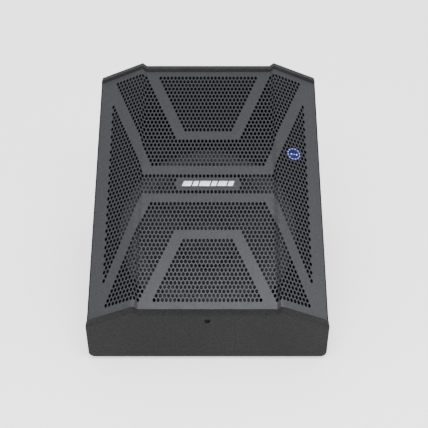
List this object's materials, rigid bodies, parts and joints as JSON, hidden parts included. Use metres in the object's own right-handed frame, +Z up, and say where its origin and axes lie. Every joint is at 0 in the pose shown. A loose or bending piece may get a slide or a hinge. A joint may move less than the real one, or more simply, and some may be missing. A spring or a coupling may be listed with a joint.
{
  "type": "stage monitor wedge",
  "caption": "Low stage monitor wedge: boarded cabinet, folded perforated steel grille, coaxial driver, ports, and a powered panel recessed in the back.",
  "frame": {"origin": "under the middle of the cabinet, level with the soles of the feet", "axes": "+Z up, low front board towards -Y, tall rear board with the amplifier panel towards +Y, +X to the right seen from the front"},
  "size_m": [0.4, 0.425, 0.3446],
  "materials": {
    "black_paint": "plywood under fine orange-peel black cabinet paint",
    "plywood": "bare birch plywood",
    "grille_coat": "satin powder coat on perforated steel",
    "zinc": "zinc plated",
    "black_screw": "black oxide",
    "cast_alloy": "cast, dark coated",
    "cone_paper": "pressed grey paper",
    "black_cloth": "doped black cloth",
    "copper": "enamelled copper winding",
    "phenolic": "resin-stiffened cloth",
    "magnet": "dark sintered magnet",
    "black_plastic": "moulded, fine texture",
    "titanium": "drawn titanium foil",
    "rubber": "matt",
    "blue_lens": "translucent blue lens",
    "badge": "satin plate",
    "circuit": "solder-masked board",
    "panel_paint": "fine black powder coat"
  },
  "bodies": {
    "cabinet": {"front_board": "black_paint", "rear_board": "black_paint", "side_board_left": "black_paint", "side_board_right": "black_paint", "bottom_board": "black_paint", "baffle_board": "black_paint", "baffle_cleat_left": "plywood", "baffle_cleat_right": "plywood", "grille": "grille_coat", "grille_screw_front": "black_screw", "grille_screw_rear": "black_screw", "name_plate": "badge", "pilot_bezel": "black_plastic", "pilot_lens": "blue_lens", "pilot_board": "circuit", "driver_basket": "cast_alloy", "driver_gasket": "rubber", "driver_surround": "black_cloth", "driver_spider": "phenolic", "motor_top_plate": "zinc", "motor_magnet": "magnet", "motor_back_plate": "zinc", "tweeter_horn": "black_plastic", "horn_screen": "black_cloth", "phase_plug": "black_plastic", "tweeter_rear_cap": "cast_alloy", "driver_terminals": "black_plastic", "port_tube_left": "black_plastic", "port_tube_right": "black_plastic", "side_handle_left": "black_plastic", "side_handle_right": "black_plastic", "amp_panel": "panel_paint", "heatsink": "black_screw", "amp_cover": "zinc", "amp_board": "circuit", "power_supply_board": "circuit", "control_board": "circuit", "mains_inlet": "black_plastic", "power_switch_frame": "black_plastic", "input_socket": "black_plastic", "link_socket": "black_plastic", "driver_cable": "rubber", "foot_front_left": "rubber", "foot_front_right": "rubber", "foot_rear_left": "rubber", "foot_rear_right": "rubber"},
    "cone_assembly": {"driver_cone": "cone_paper", "voice_coil_former": "phenolic", "voice_coil": "copper"},
    "tweeter_dome": {"tweeter_diaphragm": "titanium"},
    "level_control": {"level_knob": "black_plastic"},
    "bass_control": {"bass_knob": "black_plastic"},
    "treble_control": {"treble_knob": "black_plastic"},
    "power_rocker": {"power_rocker": "black_plastic"},
    "input_latch": {"input_latch_tab": "zinc"},
    "ground_lift": {"ground_lift_button": "rubber"}
  },
  "joints": [
    {"name": "cone_travel", "type": "slide", "parent": "cabinet", "child": "cone_assembly", "axis": [0, -0.5142, 0.8577], "range_m": [-0.005, 0.005], "stiffness_N_per_m": 4000, "deforming": ["driver_surround", "driver_spider"]},
    {"name": "tweeter_travel", "type": "slide", "parent": "cabinet", "child": "tweeter_dome", "axis": [0, -0.5142, 0.8577], "range_m": [-0.0003, 0.0003], "stiffness_N_per_m": 2000},
    {"name": "level_turn", "type": "hinge", "parent": "cabinet", "child": "level_control", "pos_m": [-0.028, 0.1925, 0.112], "axis": [0, 1, 0], "range_deg": [-150, 150]},
    {"name": "bass_turn", "type": "hinge", "parent": "cabinet", "child": "bass_control", "pos_m": [-0.062, 0.1925, 0.112], "axis": [0, 1, 0], "range_deg": [-150, 150]},
    {"name": "treble_turn", "type": "hinge", "parent": "cabinet", "child": "treble_control", "pos_m": [-0.096, 0.1925, 0.112], "axis": [0, 1, 0], "range_deg": [-150, 150]},
    {"name": "power_rock", "type": "hinge", "parent": "cabinet", "child": "power_rocker", "pos_m": [-0.092, 0.1835, 0.068], "axis": [0, 0, 1], "range_deg": [-18, 0]},
    {"name": "latch_press", "type": "slide", "parent": "cabinet", "child": "input_latch", "axis": [0, -1, 0], "range_m": [0, 0.002], "stiffness_N_per_m": 400},
    {"name": "ground_lift_press", "type": "slide", "parent": "cabinet", "child": "ground_lift", "axis": [0, -1, 0], "range_m": [0, 0.003], "stiffness_N_per_m": 300}
  ]
}
